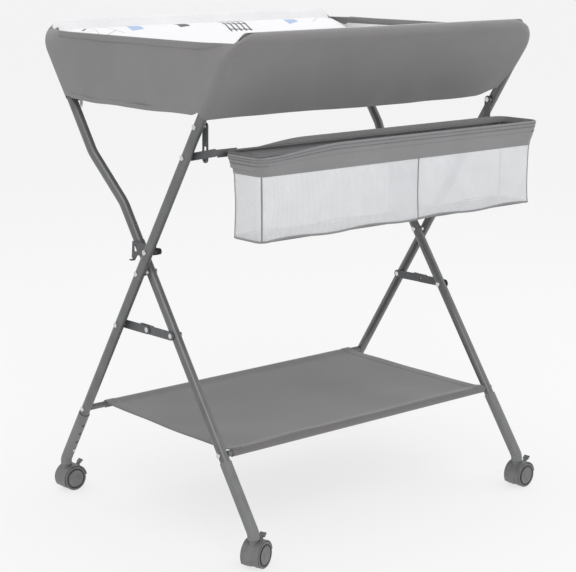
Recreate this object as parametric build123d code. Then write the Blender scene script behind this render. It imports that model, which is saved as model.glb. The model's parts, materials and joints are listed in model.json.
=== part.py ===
from build123d import *
import math
import os

# Folding changing table on casters. Millimetres, +X along the long side, +Z up.
# The basket side is -Y. The origin is on the floor, below the middle of the main pivot.

# Frames: the outer legs run from the front rim to the back casters, the inner legs
# from the rear rim to the front casters. Both turn on one pivot line.
PIVOT_Z = 502.0
LEAN_OUTER = 33.0           # degrees from upright, top towards the front
LEAN_INNER = 35.0           # degrees from upright, top towards the back
RIM_TOP_Z = 961.0
OUTER_X = 375.0             # centre of the outer legs
LEG_OD = 19.0
TUBE_GAP = 6.0              # between an outer leg and the inner leg beside it
INNER_X = OUTER_X - LEG_OD - TUBE_GAP
TUBE_WALL = 1.5
RIM_BEND = 55.0             # centre-line radius of the rim's corners
COLLAR_Z = 567.0            # where the inner frame's upper tube starts
DOGLEG_LOW_Z = 624.0
DOGLEG_HIGH_Z = 717.0
DOGLEG_BEND = 80.0
SPIGOT = 30.0               # how far one tube goes into the next
FIT = 0.1                   # clearance of a spigot or a pin in its hole, on the radius

# Tray fabric
FABRIC = 2.0                # thickness of the cloth wrapped on a tube
GAP = 0.3                   # clearance between soft pieces and their neighbours
TRAY_BOTTOM_Z = RIM_TOP_Z - 147.0
END_WALL_TOP_Z = RIM_TOP_Z - 18.0
END_WALL_THICK = 3.0
FLOOR_Z = TRAY_BOTTOM_Z + 12.0
FLOOR_THICK = 2.5
PAD_HALF_LENGTH = OUTER_X - 11.0
PAD_TOP_Z = RIM_TOP_Z - 9.0  # raised long edges of the contoured pad
PAD_SEAT_Z = FLOOR_Z + 40.0  # its flat changing surface
PAD_SLOPE = 1.65            # run over rise of the sides of the pad's valley
PAD_LIP = 13.0

# Casters
WHEEL_R = 25.0
CASTER_WIDTH = 38.0
HOOD_GAP = 3.0
HOOD_R = WHEEL_R + HOOD_GAP
HOOD_WALL = 1.8
WEB = 9.0                   # the middle wall between the two wheels
TRAIL = 10.0                # from the stem to the axle
STEM_R = 4.0
AXLE_R = 3.0
BOSS_R = 8.5
UNDER_CUT = 6.0             # how far below the axle the hood ends
BRAKE_PIN_R = 1.5
BRAKE_PIN_IN = 6.6          # from the rim of the hood to the brake's pin
BRAKE_PIN_ANGLE = math.radians(37.4)
BRAKE_PIN_X = TRAIL + (HOOD_R - BRAKE_PIN_IN) * math.cos(BRAKE_PIN_ANGLE)
BRAKE_PIN_Z = WHEEL_R + (HOOD_R - BRAKE_PIN_IN) * math.sin(BRAKE_PIN_ANGLE)
BRAKE_THICK = 5.6
BRAKE_TAB = (9.0, 13.0, 2.6)
BRAKE_OUTLINE = [(-4, -3), (3.5, -3), (4, 6), (3.5, 11), (8, 16.5), (6, 19), (-2, 12.5), (-4, 5)]
CASTER_TURN = {"front_left": 21.0, "front_right": 4.0, "rear_left": 0.0, "rear_right": 155.0}

# Height sleeves, their snap buttons and the sockets for the caster stems
SLEEVE_CLEARANCE = 0.3
SLEEVE_BORE = LEG_OD + 2 * SLEEVE_CLEARANCE
SLEEVE_WALL = 1.4
SLEEVE_END_Z = WHEEL_R + HOOD_R + 3.0
ELBOW_Z = SLEEVE_END_Z + 10.0
ELBOW_BEND = 22.0
STEM_TOP_Z = SLEEVE_END_Z + 8.0
LEG_END_Z = ELBOW_Z + 18.0  # lower end of a leg, inside its sleeve
HOLE_PITCH = 24.0
HOLE_COUNT = 4
HOLE_LOW_Z = LEG_END_Z + 14.0
SLEEVE_TOP_Z = HOLE_LOW_Z + HOLE_COUNT * HOLE_PITCH - 13.0
BUTTON_R = 2.9
BUTTON_PROUD = 2.2
SOCKET_DEPTH = 3.0

# Shelf
SHELF_Z = SLEEVE_TOP_Z + 12.0
RAIL_OD = 12.0
SHELF_SLEEVE_WALL = 1.6
SHELF_THICK = 2.0
SHELF_LEFT = -(INNER_X - LEG_OD / 2 - 10.5)
SHELF_RIGHT = INNER_X - LEG_OD / 2 - 2.5

# Braces: two links at each end, between the leg pairs, folding upwards at the middle
BRACE_Z = 390.0
LINK_WIDTH = 17.0
LINK_THICK = 1.5
LINK_GAP = 0.2
RIVET_R = 2.5
HEAD_R = 5.0
HEAD_THICK = 1.8
THIN_HEAD = 1.2
FLANGE_LENGTH = 40.0
STOP_START = 10.0           # from the middle pivot to where the flange crosses both links

# Latches
LATCH_Z = 547.0
LATCH_THICK = 2.0
LATCH_OFFSET = 2.0          # from the outer leg's inner side to the plate
CATCH_R = 3.5
CLAMP_WALL = 1.2
BUMPER_OFFSET = 14.0        # from the latch rivet to its rubber ring
BUMPER_R = 6.0
LATCH_TAB = 8.0

# Basket
BASKET_HALF = OUTER_X - 30.0
BAND_TOP_Z = TRAY_BOTTOM_Z - 51.0
BAND_LOW_Z = BAND_TOP_Z - 44.0
BASKET_BOTTOM_Z = BAND_LOW_Z - 119.0
LEG_SLOPE = math.tan(math.radians(LEAN_OUTER))
BASKET_BACK_Y = -(BAND_TOP_Z - PIVOT_Z) * LEG_SLOPE - 72.5
BASKET_FRONT_Y = BASKET_BACK_Y - 85.0
FLARE_SIDE = 13.0           # how far the band's mouth stands outside its foot
FLARE_BACK = 16.0
FLARE_FRONT = 9.0
BASKET_CORNER = 9.0         # bend of the wire hoop
MESH_THICK = 1.5
BAND_THICK = 2.5
HOOP_R = 2.5
DIVIDER_X = 33.0
ARM_ROOT_Z = BAND_TOP_Z - 26.0
ARM_THICK = 2.5
ARM_HEIGHT = 14.0
ARM_RISE = 14.0             # from the arm's rivet to its foot on the band
STRUT_TOP_Z = TRAY_BOTTOM_Z - 19.0
STRUT_PIN_Y = -(ARM_ROOT_Z - PIVOT_Z) * LEG_SLOPE - 36.4
STRUT_WIDTH = 15.0
SLOT_WIDTH = 8.2
SLOT_TRAVEL = 19.0

LEG_R = LEG_OD / 2
OUTER_IN = OUTER_X - LEG_R          # inner side of an outer leg
INNER_OUT = INNER_X + LEG_R         # outer side of an inner leg
WALL_HALF = LEG_R + FABRIC
SIDES = {"left": -1, "right": 1}
OUTER = Location((0, 0, PIVOT_Z), (LEAN_OUTER, 0, 0))
INNER = Location((0, 0, PIVOT_Z), (-LEAN_INNER, 0, 0))
nodes = {}


def along(lean, z):
    """Distance from the pivot along a leg, up to the height z."""
    return (z - PIVOT_Z) / math.cos(math.radians(lean))


def outer_y(z):
    """Where an outer leg's centre line is at the height z."""
    return -(z - PIVOT_Z) * math.tan(math.radians(LEAN_OUTER))


def inner_y(z):
    """Where an inner leg's centre line is at the height z."""
    return (z - PIVOT_Z) * math.tan(math.radians(LEAN_INNER))


def rod(radius, start, end):
    """A round bar between two points."""
    a, b = Vector(*start), Vector(*end)
    return Plane(a, z_dir=b - a) * extrude(Circle(radius), (b - a).length)


def cross_pin(radius, x0, x1, y, z):
    """A round bar along X."""
    return rod(radius, (min(x0, x1), y, z), (max(x0, x1), y, z))


def box(x, y, z):
    """A block from its limits along each axis."""
    return Pos(sum(x) / 2, sum(y) / 2, sum(z) / 2) * Box(abs(x[1] - x[0]), abs(y[1] - y[0]), abs(z[1] - z[0]))


def plate(points, x0, x1):
    """A flat plate across X with an outline of (y, z) points."""
    face = make_face(Polyline(*[(0, y, z) for y, z in points], close=True).edges())
    return Pos(min(x0, x1), 0, 0) * extrude(face, abs(x1 - x0), dir=(1, 0, 0))


def bar(start, end, width, x0, x1, round_end=True):
    """A flat link between two (y, z) points, with round ends about them."""
    dy, dz = end[0] - start[0], end[1] - start[1]
    length = math.hypot(dy, dz)
    nx, nz = -dz / length * width / 2, dy / length * width / 2
    corners = [(start[0] + nx, start[1] + nz), (end[0] + nx, end[1] + nz),
               (end[0] - nx, end[1] - nz), (start[0] - nx, start[1] - nz)]
    link = plate(corners, x0, x1)
    if round_end:
        link = link + cross_pin(width / 2, x0, x1, *start) + cross_pin(width / 2, x0, x1, *end)
    return link


def bent_rod(points, bend, radius):
    """A round bar along straight runs joined by arcs."""
    path = FilletPolyline(*points, radius=bend)
    return sweep(Plane(path @ 0, z_dir=path % 0) * Circle(radius), path=path)


def straight_tube(x, low, high, spigot=0.0):
    """A leg along local Z at x, open at both ends, with a spigot on top if asked."""
    tube = rod(LEG_R, (x, 0, low), (x, 0, high)) - rod(LEG_R - TUBE_WALL, (x, 0, low - 1), (x, 0, high + 1))
    if spigot:
        outside = LEG_R - TUBE_WALL - FIT
        plug = rod(outside, (x, 0, high - spigot), (x, 0, high + spigot))
        plug = plug - rod(outside - TUBE_WALL, (x, 0, high - spigot - 1), (x, 0, high + spigot + 1))
        ring = rod(LEG_R, (x, 0, high - TUBE_WALL), (x, 0, high))
        ring = ring - rod(outside - TUBE_WALL, (x, 0, high - 2 * TUBE_WALL), (x, 0, high + 1))
        tube = tube + plug + ring
    return tube


def headed_pin(x0, x1, y, z, radius=RIVET_R, head_at_start=HEAD_THICK, head_at_end=HEAD_THICK):
    """A rivet along X from x0 to x1, with a head beyond each end."""
    step = 1 if x1 > x0 else -1
    pin = cross_pin(radius, x0, x1, y, z)
    if head_at_start:
        pin = pin + cross_pin(HEAD_R, x0 - step * head_at_start, x0, y, z)
    if head_at_end:
        pin = pin + cross_pin(HEAD_R, x1, x1 + step * head_at_end, y, z)
    return pin


def through_legs(shape, holes):
    """Cut (y, z) cross holes right through a leg."""
    for radius, y, z in holes:
        shape = shape - cross_pin(radius, -OUTER_X - LEG_OD, OUTER_X + LEG_OD, y, z)
    return shape


def brace_points():
    """The (y, z) of the outer, middle and inner pivot of a brace."""
    reach = -along(LEAN_OUTER, BRACE_Z)
    low = math.radians(LEAN_OUTER), math.radians(LEAN_INNER)
    a = (reach * math.sin(low[0]), PIVOT_Z - reach * math.cos(low[0]))
    b = (-reach * math.sin(low[1]), PIVOT_Z - reach * math.cos(low[1]))
    return a, ((a[0] + b[0]) / 2, (a[1] + b[1]) / 2), b


BRACE_A, BRACE_M, BRACE_B = brace_points()
PIN_HOLE = RIVET_R + FIT
OUTER_HOLES = [(PIN_HOLE, 0, PIVOT_Z), (PIN_HOLE, *BRACE_A), (PIN_HOLE, outer_y(SHELF_Z), SHELF_Z),
               (PIN_HOLE, outer_y(LATCH_Z), LATCH_Z), (PIN_HOLE, outer_y(ARM_ROOT_Z), ARM_ROOT_Z),
               (PIN_HOLE, outer_y(STRUT_TOP_Z), STRUT_TOP_Z)]
INNER_HOLES = [(PIN_HOLE, 0, PIVOT_Z), (PIN_HOLE, *BRACE_B), (PIN_HOLE, inner_y(SHELF_Z), SHELF_Z),
               (PIN_HOLE, inner_y(LATCH_Z), LATCH_Z)]


def rim_path(lean, low_z):
    """The rim's centre line in its frame's own plane, from left to right."""
    top = along(lean, RIM_TOP_Z - WALL_HALF)
    low = along(lean, low_z)
    return [(-OUTER_X, 0, low), (-OUTER_X, 0, top), (OUTER_X, 0, top), (OUTER_X, 0, low)]


def rim_tube(lean, low_z):
    """The U-shaped tube that holds one long side of the tray."""
    points = rim_path(lean, low_z)
    return bent_rod(points, RIM_BEND, LEG_R) - bent_rod(points, RIM_BEND, LEG_R - TUBE_WALL)


def wall_panel(lean, low_z):
    """One long wall of the tray: cloth over the rim and down both legs."""
    low, high = along(lean, low_z), along(lean, RIM_TOP_Z - WALL_HALF) + WALL_HALF
    half = OUTER_X + WALL_HALF
    corner = RIM_BEND + WALL_HALF
    slab = box((-half, half), (-WALL_HALF, WALL_HALF), (low, high))
    top_corners = slab.edges().filter_by(Axis.Y).group_by(Axis.Z)[-1]
    slab = fillet(top_corners, corner)
    return slab - bent_rod(rim_path(lean, low_z - 20), RIM_BEND, LEG_R + GAP)


JOINT_Z = TRAY_BOTTOM_Z + 20        # the rim tubes meet the legs inside the cloth


def outer_frame():
    """The frame that stays put: outer legs, front rim and back shelf rail."""
    for side, s in SIDES.items():
        leg = straight_tube(s * OUTER_X, along(LEAN_OUTER, LEG_END_Z), along(LEAN_OUTER, JOINT_Z), SPIGOT)
        leg = through_legs(OUTER * leg, OUTER_HOLES)
        nodes["outer_leg_" + side] = leg - button_bore(OUTER, LEAN_OUTER, s * OUTER_X, -1)
    nodes["front_rim_tube"] = OUTER * rim_tube(LEAN_OUTER, JOINT_Z)
    nodes["tray_front_wall"] = OUTER * wall_panel(LEAN_OUTER, TRAY_BOTTOM_Z)


def inner_frame():
    """The frame that folds: inner legs, dog-leg uppers, rear rim and front shelf rail."""
    low, high = along(LEAN_INNER, DOGLEG_LOW_Z), along(LEAN_INNER, DOGLEG_HIGH_Z)
    for side, s in SIDES.items():
        leg = straight_tube(s * INNER_X, along(LEAN_INNER, LEG_END_Z), along(LEAN_INNER, COLLAR_Z), SPIGOT)
        leg = through_legs(INNER * leg, INNER_HOLES)
        nodes["inner_leg_" + side] = leg - button_bore(INNER, LEAN_INNER, s * INNER_X, 1)
        path = [(s * INNER_X, 0, along(LEAN_INNER, COLLAR_Z)), (s * INNER_X, 0, low),
                (s * OUTER_X, 0, high), (s * OUTER_X, 0, along(LEAN_INNER, JOINT_Z))]
        upper = bent_rod(path, DOGLEG_BEND, LEG_R) - bent_rod(path, DOGLEG_BEND, LEG_R - TUBE_WALL)
        end = path[-1][2]
        plug = straight_tube(s * OUTER_X, end - 2 * SPIGOT, end, SPIGOT)
        nodes["upper_leg_" + side] = INNER * (upper + plug)
    nodes["rear_rim_tube"] = INNER * rim_tube(LEAN_INNER, JOINT_Z)
    nodes["tray_rear_wall"] = INNER * wall_panel(LEAN_INNER, TRAY_BOTTOM_Z)


def button_bore(place, lean, x, facing):
    """The hole in a leg that its snap button slides in."""
    at = along(lean, HOLE_LOW_Z)
    return place * rod(BUTTON_R + FIT, (x, 0, at), (x, facing * LEG_OD, at))


def shelf():
    """Two rails between the legs, with a cloth panel sewn to a sleeve on each."""
    rail_r = RAIL_OD / 2
    sleeve_r = rail_r + GAP + SHELF_SLEEVE_WALL
    rails = {"rear": (outer_y(SHELF_Z), OUTER_IN), "front": (inner_y(SHELF_Z), INNER_X - LEG_R)}
    for name, (y, half) in rails.items():
        rail = cross_pin(rail_r, -half, half, y, SHELF_Z)
        for s in SIDES.values():
            rail = rail - cross_pin(PIN_HOLE, s * (half - 16), s * (half + 1), y, SHELF_Z)
        nodes[name + "_shelf_rail"] = rail
        sleeve = cross_pin(sleeve_r, SHELF_LEFT, SHELF_RIGHT, y, SHELF_Z)
        nodes[name + "_shelf_sleeve"] = sleeve - cross_pin(rail_r + GAP, SHELF_LEFT - 1, SHELF_RIGHT + 1, y, SHELF_Z)
    front, back = rails["front"][0] + sleeve_r + GAP, rails["rear"][0] - sleeve_r - GAP
    nodes["shelf_panel"] = box((SHELF_LEFT, SHELF_RIGHT), (front, back),
                               (SHELF_Z - SHELF_THICK / 2, SHELF_Z + SHELF_THICK / 2))


def tray_soft():
    """The tray's end walls, its cloth floor and the contoured pad."""
    inside = WALL_HALF / math.cos(math.radians(LEAN_OUTER)) + GAP * 2
    half = OUTER_X + WALL_HALF
    ends = [(TRAY_BOTTOM_Z, WALL_HALF), (END_WALL_TOP_Z, WALL_HALF)]
    front = [(outer_y(z) - grow, z) for z, grow in ends]
    back = [(inner_y(z) + grow, z) for z, grow in reversed(ends)]
    for side, s in SIDES.items():
        near = half + GAP
        nodes["tray_%s_wall" % side] = plate(front + back, s * near, s * (near + END_WALL_THICK))
    floor_top = FLOOR_Z + FLOOR_THICK
    nodes["tray_floor"] = box((-half, half), (outer_y(FLOOR_Z) + inside, inner_y(FLOOR_Z) - inside),
                              (FLOOR_Z, floor_top))
    lip_low = PAD_TOP_Z - 8
    front_y, back_y = outer_y(lip_low) + inside + 1, inner_y(lip_low) - inside - 1
    run = (PAD_TOP_Z - PAD_SEAT_Z) * PAD_SLOPE
    base = floor_top + GAP
    outline = [(outer_y(base) + inside + 1, base), (inner_y(base) - inside - 1, base),
               (back_y, lip_low), (back_y - PAD_LIP, PAD_TOP_Z), (back_y - PAD_LIP - run, PAD_SEAT_Z),
               (front_y + PAD_LIP + run, PAD_SEAT_Z), (front_y + PAD_LIP, PAD_TOP_Z), (front_y, lip_low)]
    nodes["changing_pad"] = plate(outline, -PAD_HALF_LENGTH, PAD_HALF_LENGTH)


def pivots_and_rivets():
    """Main pivot bolts with their spacers, and the rivets fixed to each frame."""
    outside, inside = OUTER_X + LEG_R, INNER_X - LEG_R
    bolts, outer, inner = [], [], []
    for s in SIDES.values():
        bolts.append(headed_pin(s * outside, s * inside, 0, PIVOT_Z))
        spacer = cross_pin(HEAD_R + 1, s * (OUTER_IN - FIT), s * (INNER_OUT + FIT), 0, PIVOT_Z)
        inner.append(spacer - cross_pin(PIN_HOLE, s * INNER_OUT, s * OUTER_IN, 0, PIVOT_Z))
        link_in = TUBE_GAP / 2 - LINK_GAP / 2 - LINK_THICK
        a_end = OUTER_IN - link_in
        brace_a = headed_pin(s * outside, s * (a_end - LINK_THICK - FIT), *BRACE_A, head_at_end=THIN_HEAD)
        brace_a = brace_a + cross_pin(HEAD_R, s * OUTER_IN, s * (a_end + FIT), *BRACE_A)
        outer.append(brace_a)
        b_end = INNER_OUT + link_in
        brace_b = headed_pin(s * inside, s * (b_end + LINK_THICK + FIT), *BRACE_B, head_at_end=THIN_HEAD)
        brace_b = brace_b + cross_pin(HEAD_R, s * INNER_OUT, s * (b_end - FIT), *BRACE_B)
        inner.append(brace_b)
        outer.append(headed_pin(s * outside, s * (OUTER_IN - 15), outer_y(SHELF_Z), SHELF_Z, head_at_end=0))
        inner.append(headed_pin(s * INNER_OUT, s * (inside - 15), inner_y(SHELF_Z), SHELF_Z, head_at_end=0))
        plate_in = OUTER_IN - LATCH_OFFSET - LATCH_THICK - FIT
        latch = headed_pin(s * outside, s * plate_in, outer_y(LATCH_Z), LATCH_Z, head_at_end=THIN_HEAD)
        outer.append(latch + cross_pin(HEAD_R, s * OUTER_IN, s * (OUTER_IN - LATCH_OFFSET + FIT),
                                       outer_y(LATCH_Z), LATCH_Z))
        arm_in = OUTER_IN - 1 - ARM_THICK - FIT
        arm = headed_pin(s * outside, s * arm_in, outer_y(ARM_ROOT_Z), ARM_ROOT_Z)
        outer.append(arm + cross_pin(HEAD_R, s * OUTER_IN, s * (OUTER_IN - 1 + FIT),
                                     outer_y(ARM_ROOT_Z), ARM_ROOT_Z))
        strut_out = OUTER_IN - 1 - ARM_THICK - 0.6
        strut = headed_pin(s * outside, s * (strut_out - ARM_THICK - FIT), outer_y(STRUT_TOP_Z), STRUT_TOP_Z)
        outer.append(strut + cross_pin(HEAD_R, s * OUTER_IN, s * (strut_out + FIT),
                                       outer_y(STRUT_TOP_Z), STRUT_TOP_Z))
    nodes["pivot_bolts"] = Compound(bolts)
    nodes["outer_frame_rivets"] = Compound(outer)
    nodes["inner_frame_rivets"] = Compound(inner)


def braces():
    """Rear links on the outer legs, front links on the inner legs, and the rivets between them."""
    first = TUBE_GAP / 2 - LINK_GAP / 2 - LINK_THICK
    half_width = LINK_WIDTH / 2
    rivets = []
    for side, s in SIDES.items():
        rear = (s * (OUTER_IN - first), s * (OUTER_IN - first - LINK_THICK))
        front = (s * (INNER_OUT + first), s * (INNER_OUT + first + LINK_THICK))
        link = bar(BRACE_A, BRACE_M, LINK_WIDTH, *rear)
        link = link - cross_pin(PIN_HOLE, *rear, *BRACE_A) - cross_pin(PIN_HOLE, *rear, *BRACE_M)
        nodes["rear_brace_link_" + side] = link
        link = bar(BRACE_B, BRACE_M, LINK_WIDTH, *front)
        top = BRACE_M[1] + half_width + GAP
        ahead, behind = BRACE_M[0] + FLANGE_LENGTH / 2, BRACE_M[0] - FLANGE_LENGTH / 2
        stop = box(sorted((rear[0], front[0])), (BRACE_M[0] + STOP_START, ahead), (top, top + LINK_THICK))
        root = box(sorted(front), (behind, ahead), (BRACE_M[1], top + LINK_THICK))
        link = link + stop + root
        link = link - cross_pin(PIN_HOLE, *front, *BRACE_B) - cross_pin(PIN_HOLE, *front, *BRACE_M)
        nodes["front_brace_link_" + side] = link
        rivets.append(headed_pin(rear[0], rear[1], *BRACE_M, head_at_start=THIN_HEAD, head_at_end=0))
    nodes["brace_middle_rivets"] = Compound(rivets)


def latches():
    """Hook plates on the outer legs, their rubber rings, and the catches on the inner legs."""
    a, b = (outer_y(LATCH_Z), LATCH_Z), (inner_y(LATCH_Z), LATCH_Z)
    catches = []
    for side, s in SIDES.items():
        out = s * (OUTER_IN - LATCH_OFFSET)
        x = (out, out - s * LATCH_THICK)
        tail = a[0] - BUMPER_OFFSET + 2
        hook = plate([(tail, a[1] + 8), (b[0] + 9, b[1] + 10), (b[0] + 12, b[1] - 22), (b[0] + 4, b[1] - 27),
                      (b[0] - 5, b[1] - 16), (a[0] + 2, a[1] - 8), (tail, a[1] - 5)], *x)
        slot = box(sorted(x), (b[0] - CATCH_R - 1, b[0] + CATCH_R + 1), (b[1] - 9, b[1] + CATCH_R + 1))
        tab = box(sorted((x[1], x[1] + s * LATCH_TAB)), (b[0] + 4, b[0] + 12), (b[1] - 27, b[1] - 27 + LATCH_THICK))
        hook = hook - slot - cross_pin(PIN_HOLE, *x, *a) + tab
        nodes["latch_" + side] = hook
        centre = (a[0] - BUMPER_OFFSET, a[1] + 2)
        ends = (x[0], x[1] - s * 2.5)
        ring = cross_pin(BUMPER_R, *ends, *centre) - cross_pin(BUMPER_R / 2, *ends, *centre)
        nodes["latch_bumper_" + side] = ring - hook
        tip = x[1] - s * GAP
        clamp_low, clamp_high = along(LEAN_INNER, LATCH_Z) - 13, along(LEAN_INNER, LATCH_Z) + 9
        clamp = rod(LEG_R + CLAMP_WALL, (s * INNER_X, 0, clamp_low), (s * INNER_X, 0, clamp_high))
        clamp = INNER * (clamp - rod(LEG_R + 0.02, (s * INNER_X, 0, clamp_low - 1), (s * INNER_X, 0, clamp_high + 1)))
        pin = cross_pin(RIVET_R, s * (INNER_X - LEG_R - CLAMP_WALL - 1), tip, *b)
        catches.append(clamp + pin)
    nodes["latch_catches"] = Compound(catches)


LEGS = {"front_left": (-1, "inner"), "front_right": (1, "inner"),
        "rear_left": (-1, "outer"), "rear_right": (1, "outer")}


def leg_foot(corner):
    """Sign of X, leg x, lean, frame, the side that the holes face, and the centre-line function."""
    s, kind = LEGS[corner]
    if kind == "outer":
        return s * OUTER_X, LEAN_OUTER, OUTER, -1, outer_y
    return s * INNER_X, LEAN_INNER, INNER, 1, inner_y


def height_sleeves():
    """Sleeves that slide on the legs, each with four holes, an elbow and a stem socket."""
    for corner in LEGS:
        x, lean, place, facing, centre = leg_foot(corner)
        foot_y = centre(ELBOW_Z)
        path = [(x, centre(SLEEVE_TOP_Z), SLEEVE_TOP_Z), (x, foot_y, ELBOW_Z), (x, foot_y, SLEEVE_END_Z)]
        bore = SLEEVE_BORE / 2
        skin = bent_rod(path, ELBOW_BEND, bore + SLEEVE_WALL) - bent_rod(path, ELBOW_BEND, bore)
        hole = BUTTON_R + 2 * FIT
        low = along(lean, HOLE_LOW_Z)
        for k in range(HOLE_COUNT):
            at = low + k * HOLE_PITCH
            skin = skin - place * rod(hole, (x, facing * LEG_R / 2, at), (x, facing * LEG_OD, at))
        socket = rod(bore, (x, foot_y, SLEEVE_END_Z), (x, foot_y, SLEEVE_END_Z + SOCKET_DEPTH))
        socket = socket - rod(STEM_R + FIT / 2, (x, foot_y, SLEEVE_END_Z - 1), (x, foot_y, ELBOW_Z))
        nodes["height_sleeve_" + corner] = skin + socket
        inner_r = LEG_R - TUBE_WALL - 1
        button = rod(BUTTON_R, (x, facing * (inner_r - 5), low), (x, facing * (bore + SLEEVE_WALL + BUTTON_PROUD), low))
        nodes["height_button_" + corner] = place * button


def casters():
    """Hooded twin-wheel casters with a stem, two wheels on an axle and a brake lever."""
    side = CASTER_WIDTH / 2
    web = WEB / 2
    wheel_in = web + 0.6
    for corner in LEGS:
        x, _, _, _, centre = leg_foot(corner)
        turn = Location((x, centre(ELBOW_Z), 0), (0, 0, CASTER_TURN[corner]))
        cx, cz = TRAIL, WHEEL_R
        hood = rod(HOOD_R, (cx, -side + 1, cz), (cx, side - 1, cz))
        for k in (-1, 1):
            hood = hood - rod(HOOD_R - HOOD_WALL, (cx, k * web, cz), (cx, k * side, cz))
        under = Pos(cx, 0, cz) * Rot(0, -21, 0) * box((-60, 60), (-side, side), (-60, -UNDER_CUT))
        hood = hood - under
        boss = rod(BOSS_R, (0, 0, WHEEL_R + 15), (0, 0, SLEEVE_END_Z - 0.6))
        boss = boss - rod(HOOD_R - HOOD_WALL, (cx, -side, cz), (cx, side, cz))
        stem = rod(STEM_R, (0, 0, WHEEL_R + 11), (0, 0, STEM_TOP_Z))
        pocket = box((cx + 8, cx + 40), (-BRAKE_THICK / 2 - 0.3, BRAKE_THICK / 2 + 0.3),
                     (BRAKE_PIN_Z - 5, BRAKE_PIN_Z + 30))
        pin_at = (BRAKE_PIN_X, BRAKE_PIN_Z)
        pin = rod(BRAKE_PIN_R, (pin_at[0], -web, pin_at[1]), (pin_at[0], web, pin_at[1]))
        axle_bore = rod(AXLE_R, (cx, -web - 1, cz), (cx, web + 1, cz))
        body = (hood + boss + stem - pocket - axle_bore) + pin
        nodes["caster_housing_" + corner] = turn * body
        wheels = []
        for k in (-1, 1):
            tread = rod(WHEEL_R, (cx, k * wheel_in, cz), (cx, k * side, cz))
            tread = fillet(tread.edges().filter_by(GeomType.CIRCLE), 1.5)
            wheels.append(tread)
        axle = rod(AXLE_R - FIT / 2, (cx, -wheel_in - 1, cz), (cx, wheel_in + 1, cz))
        nodes["caster_wheels_" + corner] = turn * (wheels[0] + wheels[1] + axle)
        lever = [(pin_at[0] + px, 0, pin_at[1] + pz) for px, pz in BRAKE_OUTLINE]
        face = make_face(Polyline(*lever, close=True).edges())
        arm = Pos(0, -BRAKE_THICK / 2, 0) * extrude(face, BRAKE_THICK, dir=(0, 1, 0))
        tab = Pos(pin_at[0] + 5.5, 0, pin_at[1] + 16.5) * Rot(0, -42, 0) * Box(*BRAKE_TAB)
        arm = arm + tab - rod(BRAKE_PIN_R + FIT / 2, (pin_at[0], -web, pin_at[1]), (pin_at[0], web, pin_at[1]))
        nodes["brake_lever_" + corner] = turn * arm


def sewn_walls(low_z, high_z, low, high, thick):
    """Four flat panels sewn into a ring; low and high are (half length, back y, front y) at each height."""
    def block(x_low, y_low, x_high, y_high):
        faces = []
        for z, xs, ys in ((low_z, x_low, y_low), (high_z, x_high, y_high)):
            outline = Rectangle(abs(xs[1] - xs[0]), abs(ys[1] - ys[0]))
            faces.append(Pos(sum(xs) / 2, sum(ys) / 2, z) * outline)
        return loft(faces)

    walls = []
    for side in (1, 2):
        inward = thick if side == 2 else -thick
        walls.append(block((-low[0], low[0]), (low[side], low[side] + inward),
                           (-high[0], high[0]), (high[side], high[side] + inward)))
    for s in SIDES.values():
        walls.append(block((s * low[0], s * (low[0] - thick)), (low[2] + thick, low[1] - thick),
                           (s * high[0], s * (high[0] - thick)), (high[2] + thick, high[1] - thick)))
    return walls


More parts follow.
